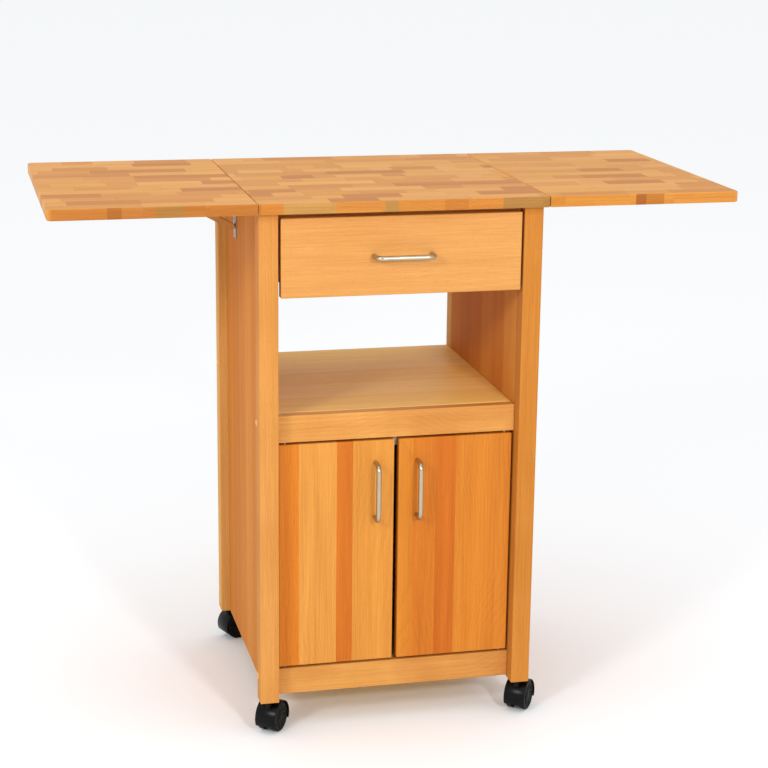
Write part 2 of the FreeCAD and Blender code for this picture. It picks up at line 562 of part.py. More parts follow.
def build_strut(name, side):
    """The strut: a bar with round ends, drilled at its upper end, which is its own origin."""
    body = doc.addObject("PartDesign::Body", f"{name}_strut")
    outline = sketch_in(body, f"{name}_strut_outline")
    half_turn = 3.141592653589793
    up = FreeCAD.Vector(0, 0, 1)
    top = Part.Circle(FreeCAD.Vector(0, 0), up, 5)
    foot = Part.Circle(FreeCAD.Vector(0, -150), up, 5)
    outline.addGeometry(Part.ArcOfCircle(top, 0, half_turn))
    outline.addGeometry(Part.LineSegment(FreeCAD.Vector(-5, 0), FreeCAD.Vector(-5, -150)))
    outline.addGeometry(Part.ArcOfCircle(foot, half_turn, 2 * half_turn))
    outline.addGeometry(Part.LineSegment(FreeCAD.Vector(5, -150), FreeCAD.Vector(5, 0)))
    outline.addConstraint(Sketcher.Constraint("Coincident", 0, 3, -1, 1))
    outline.addConstraint(Sketcher.Constraint("PointOnObject", 2, 3, -2))
    outline.addConstraint(Sketcher.Constraint("Tangent", 0, 2, 1, 1))
    outline.addConstraint(Sketcher.Constraint("Tangent", 1, 2, 2, 1))
    outline.addConstraint(Sketcher.Constraint("Tangent", 2, 2, 3, 1))
    outline.addConstraint(Sketcher.Constraint("Tangent", 3, 2, 0, 1))
    measure(outline, Sketcher.Constraint("DistanceY", 2, 3, 0, 3, 150), "length", "brace_length")
    measure(outline, Sketcher.Constraint("Radius", 0, 5), "round_end", "brace_thickness / 2")
    circle(outline, "pin_hole", "brace_pin_radius + pivot_clearance")
    pad(body, outline, f"{name}_strut_bar", "brace_width")
    # The sketch's up is turned to +Z, and its foot is swung inwards to the panel.
    upright = FreeCAD.Rotation(FreeCAD.Vector(1, 0, 0), 90)
    angle = float(body.evalExpression(reading_sheet(BRACE_ANGLE)))
    swing = FreeCAD.Rotation(FreeCAD.Vector(0, 1, 0), side * angle)
    body.Placement = FreeCAD.Placement(FreeCAD.Vector(), swing.multiply(upright))
    place(body, (f"{side} * {BRACE_X}", f"{BRACE_Y} + brace_width / 2", BRACE_Z))
    keep(body, f"{name}_leaf_brace")


def wheel(name, side, angle, x, y):
    """One wheel of a pair, on its side of the web."""
    body = doc.addObject("PartDesign::Body", name)
    outline = sketch_in(body, f"{name}_outline")
    circle(outline, "rim", "wheel_radius")
    circle(outline, "bore", "axle_radius + axle_clearance")
    disc = pad(body, outline, f"{name}_disc", "wheel_width")
    rim = SIZES["axle_radius"] * 2
    rounded(body, disc, f"{name}_tread", "wheel_ease",
            lambda edge: edge.BoundBox.XLength > rim and edge.Closed and edge.BoundBox.ZLength < 1)
    spin = FreeCAD.Rotation(FreeCAD.Vector(0, 0, 1), angle)
    body.Placement = FreeCAD.Placement(
        FreeCAD.Vector(), spin.multiply(FreeCAD.Rotation(FreeCAD.Vector(1, 0, 0), -90)))
    gap = "(web_thickness / 2 + wheel_gap)"
    near = gap if side > 0 else f"(-{gap} - wheel_width)"
    place(body, (f"{x} + trail * cos({angle}) - {near} * sin({angle})",
                 f"{y} + trail * sin({angle}) + {near} * cos({angle})", "wheel_radius"))
    return body


def hood(name, angle, x, y):
    """The caster's hood: a web between the wheels, a mudguard over them, axle stubs, a boss."""
    drum = rod(f"{name}_drum", HOOD_RADIUS, HOOD_WIDTH,
               ("trail", f"-{HOOD_WIDTH} / 2", "wheel_radius"), "y")
    space = f"({HOOD_WIDTH} - web_thickness) / 2"
    wells = [rod(f"{name}_well_{i}", "wheel_radius + hood_clearance", space,
                 ("trail", start, "wheel_radius"), "y")
             for i, start in enumerate(("web_thickness / 2", f"-{HOOD_WIDTH} / 2"))]
    # Everything below hood_bottom is cut away, down to well under the drum.
    under = box(f"{name}_under", (f"3 * {HOOD_RADIUS}", f"2 * {HOOD_WIDTH}", "2 * hood_bottom"),
                (f"trail - 1.5 * {HOOD_RADIUS}", f"-{HOOD_WIDTH}", "-hood_bottom"))
    shell = cut(f"{name}_shell", drum, group(f"{name}_cuts", wells + [under]))
    half_axle = "(web_thickness / 2 + wheel_gap + wheel_width - 1)"
    axle = rod(f"{name}_axle", "axle_radius", f"2 * {half_axle}",
               ("trail", f"-{half_axle}", "wheel_radius"), "y")
    boss = rod(f"{name}_boss", "boss_radius", "boss_depth",
               ("0 * trail", "0 * trail", f"{BOSS_TOP} - boss_depth"))
    whole = joined(f"{name}_whole", [shell, axle, boss])
    hole = rod(f"{name}_stem_hole", "stem_radius + stem_clearance", f"{BOSS_TOP} - stem_bottom",
               ("0 * trail", "0 * trail", "stem_bottom"))
    result = cut(f"{name}_drilled", whole, hole)
    turn(result, FreeCAD.Vector(0, 0, 1), angle)
    place(result, (x, y, "0 * trail"))
    return result


def build_casters():
    """A socket in each leg, and in it a swivelling stem that carries a hood and two wheels."""
    sockets = []
    for name, (side, end, angle) in CASTERS.items():
        x = f"{side} * {LEG_CENTRE_X}"
        y = leg_centre_y(end)
        bore = "(stem_radius + stem_clearance)"
        tube = rod(f"{name}_socket_tube", f"{bore} + socket_wall", "socket_length",
                   (x, y, LEG_BOTTOM))
        flange = rod(f"{name}_socket_flange", "flange_radius", "socket_flange",
                     (x, y, f"{LEG_BOTTOM} - socket_flange"))
        hole = rod(f"{name}_socket_bore", bore, "socket_length + socket_flange",
                   (x, y, f"{LEG_BOTTOM} - socket_flange"))
        sockets.append(cut(f"{name}_socket", joined(f"{name}_socket_blank", [tube, flange]), hole))
        keep(hood(f"{name}_hood", angle, x, y), f"{name}_caster_hood")
        keep(rod(f"{name}_stem", "stem_radius",
                 f"{LEG_BOTTOM} + socket_length - stem_bottom - stem_end_gap",
                 (x, y, "stem_bottom")), f"{name}_caster_stem")
        pair = [wheel(f"{name}_wheel_{i}", turn_side, angle, x, y)
                for i, turn_side in enumerate((1, -1))]
        keep(group(f"{name}_wheel_pair", pair), f"{name}_caster_wheels")
    keep(group("socket_group", sockets), "caster_sockets")


def write_parts():
    """Check every object, then write each sub-part to a file named after its label."""
    doc.recompute()
    for thing in doc.Objects:
        if "Invalid" in thing.State or "Error" in thing.State:
            raise RuntimeError(f"{thing.Label} failed: {thing.State}")
    for part in parts:
        if part.Shape.isNull() or not part.Shape.isValid() or not part.Shape.Solids:
            raise RuntimeError(f"{part.Label} has no valid solid")
    os.makedirs("parts", exist_ok=True)
    for part in parts:
        part.Shape.exportStep(f"parts/{part.Label}.step")
    print(len(parts), "sub-parts written")


build_top_and_leaves()
build_legs()
build_carcass()
build_plugs()
build_drawer()
build_doors()
build_hinges()
build_braces()
build_casters()
write_parts()
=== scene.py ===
import json
import math

import bmesh
import bpy
from mathutils import Matrix, Vector


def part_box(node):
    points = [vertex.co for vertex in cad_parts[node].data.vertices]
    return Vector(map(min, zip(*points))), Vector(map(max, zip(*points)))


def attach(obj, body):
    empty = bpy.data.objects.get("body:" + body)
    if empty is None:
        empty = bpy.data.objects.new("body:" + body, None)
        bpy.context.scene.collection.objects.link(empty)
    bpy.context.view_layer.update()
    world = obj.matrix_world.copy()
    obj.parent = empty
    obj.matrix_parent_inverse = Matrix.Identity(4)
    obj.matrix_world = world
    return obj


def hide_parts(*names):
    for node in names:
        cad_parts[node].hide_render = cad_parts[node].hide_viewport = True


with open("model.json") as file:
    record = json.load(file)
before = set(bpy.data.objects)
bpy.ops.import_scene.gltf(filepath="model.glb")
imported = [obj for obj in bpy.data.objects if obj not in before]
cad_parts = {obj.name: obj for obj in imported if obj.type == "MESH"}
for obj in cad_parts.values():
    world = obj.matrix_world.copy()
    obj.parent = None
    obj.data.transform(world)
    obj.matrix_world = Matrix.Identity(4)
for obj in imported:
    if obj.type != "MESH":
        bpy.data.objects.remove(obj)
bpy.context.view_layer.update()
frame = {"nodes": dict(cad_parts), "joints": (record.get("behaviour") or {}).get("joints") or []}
nodes = frame["nodes"]
scene = bpy.context.scene
MM = 0.001
CORNERS = ("front_left", "front_right", "back_left", "back_right")


# ---------------------------------------------------------------- node trees

def linear(text):
    """A colour written as sRGB hex, in Blender's linear values."""
    parts = [int(text[i:i + 2], 16) / 255 for i in (1, 3, 5)]
    return [c / 12.92 if c <= 0.04045 else ((c + 0.055) / 1.055) ** 2.4 for c in parts] + [1.0]


def add(tree, kind, inputs=None, **settings):
    """Add a node, set its properties, and give each named input a value or a link."""
    made = tree.nodes.new(kind)
    for key, value in settings.items():
        setattr(made, key, value)
    for socket, value in (inputs or {}).items():
        if isinstance(value, bpy.types.NodeSocket):
            tree.links.new(value, made.inputs[socket])
        else:
            made.inputs[socket].default_value = value
    return made


def new_material(name):
    material = bpy.data.materials.new(name)
    material.use_nodes = True
    return material, material.node_tree, material.node_tree.nodes["Principled BSDF"]


def use(material, *names):
    for name in names:
        for slot in nodes[name].material_slots:
            slot.material = material


# ---------------------------------------------------------------- varnished hardwood

def hardwood(name, along, tones, strip=None, blocks=None, bands=None, span=None,
             front_row=False, figure=1.0, roughness=0.42, sheen=0.25):
    """Clear-varnished light hardwood: honey brown, with rings, fine fibres and short dark pores.

    along is the grain's axis.  strip is (axis, width, where the first starts) of edge-glued
    strips, blocks the shortest and longest block they are made of.  bands are (upper end, tone)
    listed along x between the two ends of span, and all the lengths are in mm.
    """
    material, tree, shader = new_material(name)

    def maths(operation, a, b=0.0, c=0.0):
        return add(tree, "ShaderNodeMath", {0: a, 1: b, 2: c}, operation=operation).outputs[0]

    def spread(value, low, high, to_low, to_high):
        return add(tree, "ShaderNodeMapRange", {"Value": value, "From Min": low, "From Max": high,
                                                "To Min": to_low, "To Max": to_high}).outputs[0]

    def noise(vector, scale, detail=2.0, distortion=0.0):
        stretched = add(tree, "ShaderNodeMapping", {"Vector": vector, "Scale": scale})
        return add(tree, "ShaderNodeTexNoise", {"Vector": stretched.outputs[0], "Scale": 1.0,
                                                "Detail": detail,
                                                "Distortion": distortion}).outputs["Fac"]

    def random(value):
        return add(tree, "ShaderNodeTexWhiteNoise", {"W": value},
                   noise_dimensions="1D").outputs["Value"]

    def ramp(factor, stops, steps=False):
        band = add(tree, "ShaderNodeValToRGB", {"Fac": factor})
        band.color_ramp.interpolation = "CONSTANT" if steps else "LINEAR"
        elements = band.color_ramp.elements
        while len(elements) < len(stops):
            elements.new(0.5)
        for element, (position, _) in zip(elements, stops):
            element.position = position
        for element, (_, colour) in zip(elements, stops):
            element.color = linear(colour)
        return band.outputs["Color"]

    place = add(tree, "ShaderNodeTexCoord").outputs["Object"]
    axes = add(tree, "ShaderNodeSeparateXYZ", {0: place}).outputs
    length = axes["XYZ".index(along)]
    width, depth = [axes[i] for i in range(3) if "XYZ"[i] != along]

    # The strip and the block a point is in, and how far it is from their glue line, in mm.
    seed, joint = 0.37, None
    if strip:
        axis, size, start = strip
        from_start = maths("SUBTRACT", axes["XYZ".index(axis)], start * MM)
        across = maths("DIVIDE", from_start, size * MM)
        row = maths("FLOOR", across)
        seed = maths("MULTIPLY_ADD", row, 13.7, 4.1)
        joint = maths("PINGPONG", across, 0.5)
        joint = maths("MULTIPLY", joint, size)
    if blocks:
        # The top and the two leaves are separate boards, so each has its own run of blocks.
        board = maths("ADD", maths("GREATER_THAN", axes[0], -TOP_HALF * MM),
                      maths("GREATER_THAN", axes[0], TOP_HALF * MM))
        seed = maths("MULTIPLY_ADD", board, 57.0, seed)
        shift = random(seed)
        pace = spread(random(maths("ADD", seed, 0.5)), 0.0, 1.0, blocks[0] * MM, blocks[1] * MM)
        run = maths("MULTIPLY_ADD", shift, 7.0, maths("DIVIDE", length, pace))
        # A slow wave along the run makes the blocks of one stave unequal.
        run = maths("MULTIPLY_ADD", maths("SINE", maths("MULTIPLY", run, 2.4)), 0.24, run)
        seed = maths("MULTIPLY_ADD", maths("FLOOR", run), 3.31, seed)
        end = maths("MULTIPLY", maths("PINGPONG", run, 0.5), (blocks[0] + blocks[1]) / 2)
        joint = maths("MINIMUM", joint, end)
    chance = random(seed) if strip else 0.5
    if strip:
        colour = ramp(chance, [(i / len(tones), tone) for i, tone in enumerate(tones)], True)
    else:
        slow = noise(place, (6.0, 6.0, 6.0))
        colour = ramp(slow, [(0.35 + 0.3 * i / max(len(tones) - 1, 1), tone)
                             for i, tone in enumerate(tones)])
    if bands:
        low, high = span
        starts = [low] + [end for end, _ in bands[:-1]]
        laid = ramp(spread(axes[0], low * MM, high * MM, 0.0, 1.0),
                    [((start - low) / (high - low), tone)
                     for start, (_, tone) in zip(starts, bands)], True)
        if front_row:
            # The listed block tones colour only the front edge, within FRONT_SKIN of the front;
            # the top of the same blocks keeps the stave tones.
            first = maths("LESS_THAN", axes[1], top_low.y + FRONT_SKIN * MM)
            colour = add(tree, "ShaderNodeMix", {"Factor": first, 6: colour, 7: laid},
                         data_type="RGBA").outputs[2]
        else:
            colour = laid
            tone_random = add(tree, "ShaderNodeSeparateColor", {0: laid}).outputs[1]
            chance = random(tone_random)

    # The grain's own frame, moved to another part of the tree in every strip or block.
    away = maths("MULTIPLY", chance, 7.0)
    grain = add(tree, "ShaderNodeCombineXYZ", {0: maths("ADD", length, away), 1: width,
                                               2: maths("ADD", depth, away)}).outputs[0]
    # Growth rings about a pith that lies off the board and wanders along it, 5.5 mm apart.
    wander = noise(grain, (2.6, 5.0, 5.0), 1.0)
    pith = maths("MULTIPLY_ADD", maths("SUBTRACT", wander, 0.5), 0.22, 0.02)
    off = maths("ADD", width, pith)
    deep = maths("MULTIPLY_ADD", chance, 0.05, 0.035)
    squares = maths("ADD", maths("MULTIPLY", off, off), maths("MULTIPLY", deep, deep))
    radius = maths("SQRT", squares)
    rings = maths("FRACT", maths("DIVIDE", maths("ADD", radius, depth), 5.5 * MM))
    rings = maths("POWER", rings, 3.0)
    # Fibres about 2 mm apart and 150 mm long, fine ones about 0.7 mm apart, and wide streaks.
    fibres = noise(grain, (7.0, 420.0, 420.0), 4.0)
    fine = noise(grain, (30.0, 1500.0, 1500.0), 2.0)
    streaks = noise(grain, (2.0, 42.0, 42.0), 2.0, 0.4)
    # Pores about 0.5 mm wide and 7 mm long, coarser than real so that they show.
    pores = noise(grain, (150.0, 2100.0, 2100.0), 1.0)
    pores = spread(pores, 0.64, 0.76, 0.0, 0.20)

    shade = maths("MULTIPLY_ADD", maths("SUBTRACT", fibres, 0.5), 0.30, 1.0)
    shade = maths("MULTIPLY_ADD", maths("SUBTRACT", fine, 0.5), 0.22, shade)
    shade = maths("MULTIPLY_ADD", maths("SUBTRACT", streaks, 0.5), 0.38 * figure, shade)
    shade = maths("SUBTRACT", shade, maths("MULTIPLY", rings, 0.07 * figure))
    shade = maths("SUBTRACT", shade, pores)
    if joint:
        shade = maths("MULTIPLY", shade, spread(joint, 0.1, 0.7, 0.84, 1.0))
    # Darker wood is redder wood.
    tint = add(tree, "ShaderNodeCombineXYZ", {0: shade, 1: maths("POWER", shade, 1.5),
                                              2: maths("POWER", shade, 2.3)}).outputs[0]
    colour = add(tree, "ShaderNodeVectorMath", {0: colour, 1: tint},
                 operation="MULTIPLY").outputs[0]
    tree.links.new(colour, shader.inputs["Base Color"])
    tree.links.new(spread(fibres, 0.0, 1.0, roughness - 0.08, roughness + 0.10),
                   shader.inputs["Roughness"])
    bump = add(tree, "ShaderNodeBump", {"Height": shade, "Strength": 0.22, "Distance": 0.3 * MM})
    tree.links.new(bump.outputs[0], shader.inputs["Normal"])
    shader.inputs["Specular IOR Level"].default_value = sheen
    return material


top_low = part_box("fixed_top")[0]
STAVE = 36          # width of one stave of the top
TOP_HALF = 239.5    # from the middle to where a leaf begins
OPEN_HALF = 568     # from the middle to past the end of a raised leaf
FRONT_SKIN = 2.2    # how far back the listed blocks reach
DOOR_GAP, DOOR_EDGE = 4, 200

# The front stave's blocks, as (right end in mm, tone), from the left leaf's end to the right's.
FRONT_BLOCKS = [
    (-478, "#bd7a36"), (-456, "#ab692b"), (-403, "#bb7a3a"), (-355, "#ac7d40"),
    (-TOP_HALF, "#b97734"), (-200, "#c98138"), (-117, "#c09252"), (-37, "#cc8a41"),
    (-14, "#b4884a"), (62, "#cb883d"), (98, "#c27c36"), (156, "#cd873c"), (TOP_HALF, "#ad8045"),
    (383, "#d2903f"), (402, "#a9672c"), (433, "#bd7b34"), (OPEN_HALF, "#d59244"),
]
block_top = hardwood("butcher block, varnished rubberwood", "X",
                     ["#d4943f", "#cf8c3a", "#d99a4a", "#c88335", "#d59540", "#cd8a3b",
                      "#bd772e", "#d79749"],
                     strip=("Y", STAVE, top_low.y / MM), blocks=(52, 150), bands=FRONT_BLOCKS,
                     span=(-OPEN_HALF, OPEN_HALF), front_row=True, figure=0.7, sheen=0.12)
leg_wood = hardwood("leg hardwood, varnished", "Z", ["#c58542", "#cc8d49"], figure=0.5,
                    roughness=0.55, sheen=0.03)
deep_leg_wood = hardwood("right front leg hardwood, varnished", "Z", ["#b9752f", "#c07d36"],
                         figure=0.6, roughness=0.55, sheen=0.03)
# Painted light: the back legs get a lighter copy of the leg wood, standing in for the light that
# falls on their narrow front faces.
painted_lit_back_leg_wood = hardwood("back leg hardwood, varnished, lightened as painted light", "Z", ["#d29d57", "#d8a45f"],
                         figure=0.5, roughness=0.55, sheen=0.03)
drawer_wood = hardwood("drawer front hardwood, varnished", "X", ["#cb8c46", "#cf924d"],
                       figure=0.5)
rail_wood = hardwood("rail hardwood, varnished", "X", ["#c98a42", "#d09249", "#c3823e"],
                     figure=0.8, sheen=0.15)
panel_wood = hardwood("glued side panel, sealed rubberwood", "Z",
                      ["#cb8035", "#c87c34", "#cf873c", "#c47831"],
                      strip=("Y", 68, -196), figure=0.5, roughness=0.6, sheen=0.03)
shelf_wood = hardwood("shelf board, varnished rubberwood", "X",
                      ["#f6c873", "#f8cc7b", "#f3c46d"], strip=("Y", 84, -183), figure=0.4,
                      sheen=0.1)
box_wood = hardwood("drawer box and cleat hardwood, sealed", "Y", ["#cf9a58", "#d7a463"],
                    figure=0.6, roughness=0.5)
back_wood = hardwood("back board, sealed", "Z", ["#c58c4c", "#cd9656"], figure=0.8,
                     roughness=0.5)
left_door_wood = hardwood(
    "left door, glued strips, varnished", "Z", ["#cf8f48"],
    bands=[(-167, "#c8731d"), (-102, "#d08c3d"), (-75, "#c0681b"), (-DOOR_GAP, "#cb8535")],
    span=(-DOOR_EDGE, -DOOR_GAP), figure=0.9, sheen=0.15)
right_door_wood = hardwood(
    "right door, glued strips, varnished", "Z", ["#cf8f48"],
    bands=[(28, "#c67824"), (69, "#c26e1e"), (103, "#bb6217"), (DOOR_EDGE, "#c67724")],
    span=(DOOR_GAP, DOOR_EDGE), figure=1.0, sheen=0.15)

use(block_top, "fixed_top", "left_leaf", "right_leaf")
use(leg_wood, "front_left_leg")
use(deep_leg_wood, "front_right_leg")
use(painted_lit_back_leg_wood, "back_left_leg", "back_right_leg")
use(panel_wood, "left_side_panel", "right_side_panel")
use(drawer_wood, "drawer_front")
use(rail_wood, "shelf_rail", "bottom_rail", "upper_back_rail", "top_stretcher")
use(shelf_wood, "open_shelf", "cupboard_floor")
use(back_wood, "cupboard_back", "drawer_bottom")
use(box_wood, "drawer_left_side", "drawer_right_side", "drawer_back", "shelf_cleats",
    "left_leaf_brace", "right_leaf_brace")
use(left_door_wood, "left_door")
use(right_door_wood, "right_door")


# ---------------------------------------------------------------- metal and plastic

def hard_finish(name, colour, roughness, metallic=0.0, lines=None, skin=900.0, sheen=0.5,
                wear=0.08):
    """Metal or plastic: a fine skin or drawn lines, and a faint cloudiness in the colour.

    skin is how many bumps there are to a metre, and lines the axis that drawn lines follow.
    """
    material, tree, shader = new_material(name)
    place = add(tree, "ShaderNodeTexCoord").outputs["Object"]
    scale = [skin, skin, skin]
    if lines:
        scale["XYZ".index(lines)] = skin / 30
    stretched = add(tree, "ShaderNodeMapping", {"Vector": place, "Scale": scale})
    noise = add(tree, "ShaderNodeTexNoise", {"Vector": stretched.outputs[0], "Scale": 1.0,
                                             "Detail": 3.0}).outputs["Fac"]
    cloud = add(tree, "ShaderNodeTexNoise", {"Vector": place, "Scale": 45.0,
                                             "Detail": 3.0}).outputs["Fac"]
    rough = add(tree, "ShaderNodeMapRange", {"Value": noise, "To Min": roughness - 0.05,
                                             "To Max": roughness + 0.07}).outputs[0]
    tree.links.new(rough, shader.inputs["Roughness"])
    bump = add(tree, "ShaderNodeBump", {"Height": noise, "Strength": 0.08, "Distance": 0.1 * MM})
    tree.links.new(bump.outputs[0], shader.inputs["Normal"])
    level = add(tree, "ShaderNodeMapRange", {"Value": cloud, "From Min": 0.3, "From Max": 0.7,
                                             "To Min": 1.0 - wear, "To Max": 1.0}).outputs[0]
    tinted = add(tree, "ShaderNodeVectorMath", {0: linear(colour)[:3], 1: level},
                 operation="MULTIPLY").outputs[0]
    tree.links.new(tinted, shader.inputs["Base Color"])
    shader.inputs["Metallic"].default_value = metallic
    if not metallic:
        shader.inputs["Specular IOR Level"].default_value = sheen
    return material


# Drawn rod, plated and brushed: soft stretched highlights along its length.
nickel = hard_finish("satin nickel rod", "#b9ae98", 0.30, 1.0, "X", 1200.0)
nickel_upright = hard_finish("satin nickel upright rod", "#b9ae98", 0.30, 1.0, "Z", 1200.0)
# Stamped sheet and turned pins with a bright zinc plating: cooler, slightly mottled.
zinc = hard_finish("zinc-plated steel", "#a9a79f", 0.38, 1.0, None, 700.0, wear=0.16)
# Moulded nylon: nearly black, with a soft broad highlight.
caster_black = hard_finish("caster nylon, moulded black", "#050606", 0.27, sheen=0.16)
tyre_black = hard_finish("caster tread nylon, scuffed black", "#080808", 0.42, sheen=0.12,
                         wear=0.4)
catch_white = hard_finish("catch body, moulded off-white", "#cfc8b6", 0.45)
roller_white = hard_finish("slide roller, moulded nylon", "#e4e0d4", 0.38)
# Powder coat has a fine orange-peel skin.
slide_paint = hard_finish("drawer slide, cream powder-coated steel", "#d3cdbb", 0.42, 0.0, None,
                          1400.0)
bumper_clear = hard_finish("door bumper, soft clear plastic", "#c9c5ba", 0.3)
use(nickel, "drawer_pull")
use(nickel_upright, "left_door_pull", "right_door_pull")
use(zinc, "top_hinge_plates", "left_leaf_hinge_plates", "right_leaf_hinge_plates", "hinge_pins",
    "left_brace_bracket", "right_brace_bracket", "left_brace_pin", "right_brace_pin",
    "brace_wall_plates", "left_door_pins", "right_door_pins", "left_door_strike",
    "right_door_strike")
use(slide_paint, "drawer_slide_rails")
use(caster_black, "caster_sockets")
for corner in CORNERS:
    use(zinc, f"{corner}_caster_stem")
    use(caster_black, f"{corner}_caster_hood", f"{corner}_caster_wheels")
use(leg_wood, "wood_plugs")


# ---------------------------------------------------------------- making pieces

def finished(name, mesh_maker, materials, body, replaces=()):
    """Turn a bmesh into a piece that rides on a body and may stand for CAD nodes."""
    bmesh.ops.recalc_face_normals(mesh_maker, faces=mesh_maker.faces)
    mesh = bpy.data.meshes.new(name)
    mesh_maker.to_mesh(mesh)
    mesh_maker.free()
    for material in materials:
        mesh.materials.append(material)
    return placed(name, mesh, body, replaces)


def placed(name, mesh, body, replaces=()):
    mesh.shade_smooth()
    mesh.set_sharp_from_angle(angle=math.radians(38))
    piece = bpy.data.objects.new(name, mesh)
    scene.collection.objects.link(piece)
    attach(piece, body)
    if replaces:
        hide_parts(*replaces)
    return piece


def turned(maker, profile, place, segments=48, slot=0):
    """Turn a profile of (radius, height) about local Z; a radius of 0 closes it at the axis."""
    rings = []
    for radius, height in profile:
        if radius == 0:
            rings.append([maker.verts.new(place @ Vector((0, 0, height)))])
        else:
            rings.append([maker.verts.new(place @ Vector((
                radius * math.cos(2 * math.pi * i / segments),
                radius * math.sin(2 * math.pi * i / segments), height)))
                for i in range(segments)])
    for near, far in zip(rings, rings[1:]):
        for i in range(segments):
            j = (i + 1) % segments
            corners = [near[i % len(near)], near[j % len(near)], far[j % len(far)],
                       far[i % len(far)]]
            corners = list(dict.fromkeys(corners))
            maker.faces.new(corners).material_index = slot


def facing(origin, direction):
    """A frame at origin whose Z points along direction."""
    turn = Vector(direction).to_track_quat("Z", "Y").to_matrix().to_4x4()
    return Matrix.Translation(Vector(origin)) @ turn


# ---------------------------------------------------------------- screws, laid by nodes

def tree_with_inputs(name, **sizes):
    """A geometry tree with a mesh in and out and one float input for each size."""
    tree = bpy.data.node_groups.new(name, "GeometryNodeTree")
    tree.interface.new_socket("Geometry", in_out="INPUT", socket_type="NodeSocketGeometry")
    tree.interface.new_socket("Geometry", in_out="OUTPUT", socket_type="NodeSocketGeometry")
    for key in sizes:
        tree.interface.new_socket(key, in_out="INPUT", socket_type="NodeSocketFloat")
    tree.interface.new_socket("Material", in_out="INPUT", socket_type="NodeSocketMaterial")
    return tree, add(tree, "NodeGroupInput").outputs


def laid_by_nodes(name, body, tree, sizes, material, spots):
    """Run a tree on points that each carry the way they face, and keep the result as a mesh."""
    points = bpy.data.meshes.new(name + "_points")
    points.from_pydata([place for place, _ in spots], [], [])
    ways = points.attributes.new("way", "FLOAT_VECTOR", "POINT")
    for item, (_, way) in zip(ways.data, spots):
        item.vector = way
    holder = bpy.data.objects.new(name + "_points", points)
    scene.collection.objects.link(holder)
    modifier = holder.modifiers.new("lay", "NODES")
    modifier.node_group = tree
    for item in tree.interface.items_tree:
        if item.in_out == "INPUT" and item.name in sizes:
            modifier[item.identifier] = sizes[item.name]
        if item.in_out == "INPUT" and item.name == "Material":
            modifier[item.identifier] = material
    seen = holder.evaluated_get(bpy.context.evaluated_depsgraph_get())
    mesh = bpy.data.meshes.new_from_object(seen)
    mesh.name = name
    bpy.data.objects.remove(holder)
    if not mesh.materials:
        mesh.materials.append(material)
    return placed(name, mesh, body)


def along_way(tree):
    """The turn that points Z along each point's way."""
    way = add(tree, "GeometryNodeInputNamedAttribute", {"Name": "way"},
              data_type="FLOAT_VECTOR").outputs["Attribute"]
    return add(tree, "FunctionNodeAlignRotationToVector", {"Vector": way}, axis="Z").outputs[0]


def lay_on_points(tree, given, piece, rotation):
    """Put a piece on every point, make it real mesh, and send it out in its material."""
    laid = add(tree, "GeometryNodeInstanceOnPoints", {"Points": given["Geometry"],
                                                      "Instance": piece,
                                                      "Rotation": rotation}).outputs[0]
    real = add(tree, "GeometryNodeRealizeInstances", {"Geometry": laid}).outputs[0]
    done = add(tree, "GeometryNodeSetMaterial", {"Geometry": real,
                                                 "Material": given["Material"]}).outputs[0]
    add(tree, "NodeGroupOutput", {0: done})
    return tree


def screw_tree():
    """Countersunk heads with a crossed driver recess, one to a point, each turned at random."""
    tree, given = tree_with_inputs("screw heads", Radius=0, Rise=0, Slot=0)
    head = add(tree, "GeometryNodeMeshUVSphere", {"Segments": 20, "Rings": 8,
                                                  "Radius": given["Radius"]}).outputs["Mesh"]
    flatten = add(tree, "ShaderNodeMath", {0: given["Rise"], 1: given["Radius"]},
                  operation="DIVIDE").outputs[0]
    flat = add(tree, "ShaderNodeCombineXYZ", {0: 1.0, 1: 1.0, 2: flatten}).outputs[0]
    head = add(tree, "GeometryNodeTransform", {"Geometry": head, "Scale": flat}).outputs[0]
    long_side = add(tree, "ShaderNodeMath", {0: given["Radius"], 1: 1.15},
                    operation="MULTIPLY").outputs[0]
    cutters = []
    for bar in ((long_side, given["Slot"]), (given["Slot"], long_side)):
        size = add(tree, "ShaderNodeCombineXYZ", {0: bar[0], 1: bar[1],
                                                  2: given["Rise"]}).outputs[0]
        block = add(tree, "GeometryNodeMeshCube", {"Size": size}).outputs["Mesh"]
        lift = add(tree, "ShaderNodeCombineXYZ", {2: given["Rise"]}).outputs[0]
        cutters.append(add(tree, "GeometryNodeTransform",
                           {"Geometry": block, "Translation": lift}).outputs[0])
    cut = add(tree, "GeometryNodeMeshBoolean", {"Mesh 1": head}, operation="DIFFERENCE",
              solver="EXACT")
    for cutter in cutters:
        tree.links.new(cutter, cut.inputs["Mesh 2"])
    aimed = along_way(tree)
    spin = add(tree, "FunctionNodeRandomValue", {"Min": 0.0, "Max": 6.28, "Seed": 5},
               data_type="FLOAT")
    angles = add(tree, "ShaderNodeCombineXYZ", {2: [s for s in spin.outputs if s.enabled][0]})
    turn = add(tree, "FunctionNodeEulerToRotation", {0: angles.outputs[0]}).outputs[0]
    aimed = add(tree, "FunctionNodeRotateRotation", {"Rotation": aimed, "Rotate By": turn},
                rotation_space="LOCAL").outputs[0]
    return lay_on_points(tree, given, cut.outputs[0], aimed)


SCREW = screw_tree()
LARGE_HEAD = {"Radius": 3.4 * MM, "Rise": 0.9 * MM, "Slot": 0.9 * MM}
SMALL_HEAD = {"Radius": 2.4 * MM, "Rise": 0.7 * MM, "Slot": 0.7 * MM}
FLUSH_HEAD = {"Radius": 2.4 * MM, "Rise": 0.3 * MM, "Slot": 0.6 * MM}


def screws(name, body, spots, sizes=SMALL_HEAD):
    """Screw heads at spots, each (x, y, z in mm) with the way it faces."""
    places = [(Vector(place) * MM, way) for place, way in spots]
    return laid_by_nodes(name, body, SCREW, sizes, zinc, places)


